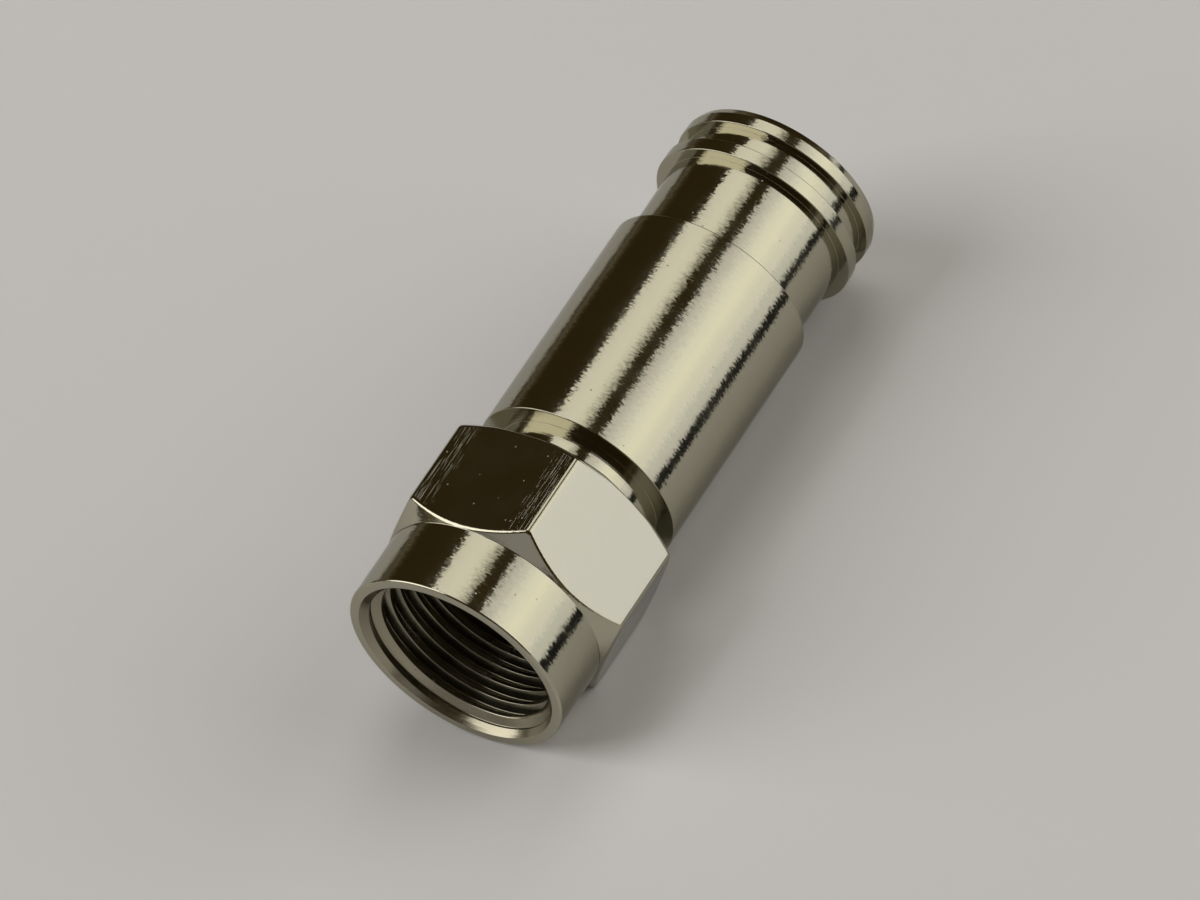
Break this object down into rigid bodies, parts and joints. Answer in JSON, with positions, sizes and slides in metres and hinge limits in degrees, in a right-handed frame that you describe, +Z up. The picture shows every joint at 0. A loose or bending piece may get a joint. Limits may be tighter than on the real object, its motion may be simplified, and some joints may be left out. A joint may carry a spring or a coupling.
{
  "type": "f connector",
  "caption": "Nickel-plated compression coaxial plug: captive hex nut with an internal thread, plain round body, and a press-in sleeve with a grooved rim at the cable end.",
  "frame": {"origin": "on the surface that the plug lies on, under the middle of its length", "axes": "+X along the plug's axis from the nut's mouth to the cable end, +Z up, with a flat of the hexagon down"},
  "size_m": [0.0296, 0.0128, 0.0111],
  "materials": {
    "plated_brass": "polished nickel plate on turned brass",
    "acetal": "moulded white acetal",
    "seal_rubber": "moulded black EPDM"
  },
  "bodies": {
    "body": {"body_shell": "plated_brass", "post": "plated_brass", "nut_seal": "seal_rubber"},
    "nut": {"coupling_nut": "plated_brass"},
    "sleeve": {"compression_sleeve": "plated_brass", "grip_ring": "acetal", "cable_seal": "seal_rubber"}
  },
  "joints": [
    {"name": "nut_spin", "type": "hinge", "parent": "body", "child": "nut", "pos_m": [-0.0084, 0, 0.00556], "axis": [1, 0, 0], "continuous": true},
    {"name": "sleeve_press", "type": "slide", "parent": "body", "child": "sleeve", "axis": [-1, 0, 0], "range_m": [0, 0.004]}
  ]
}
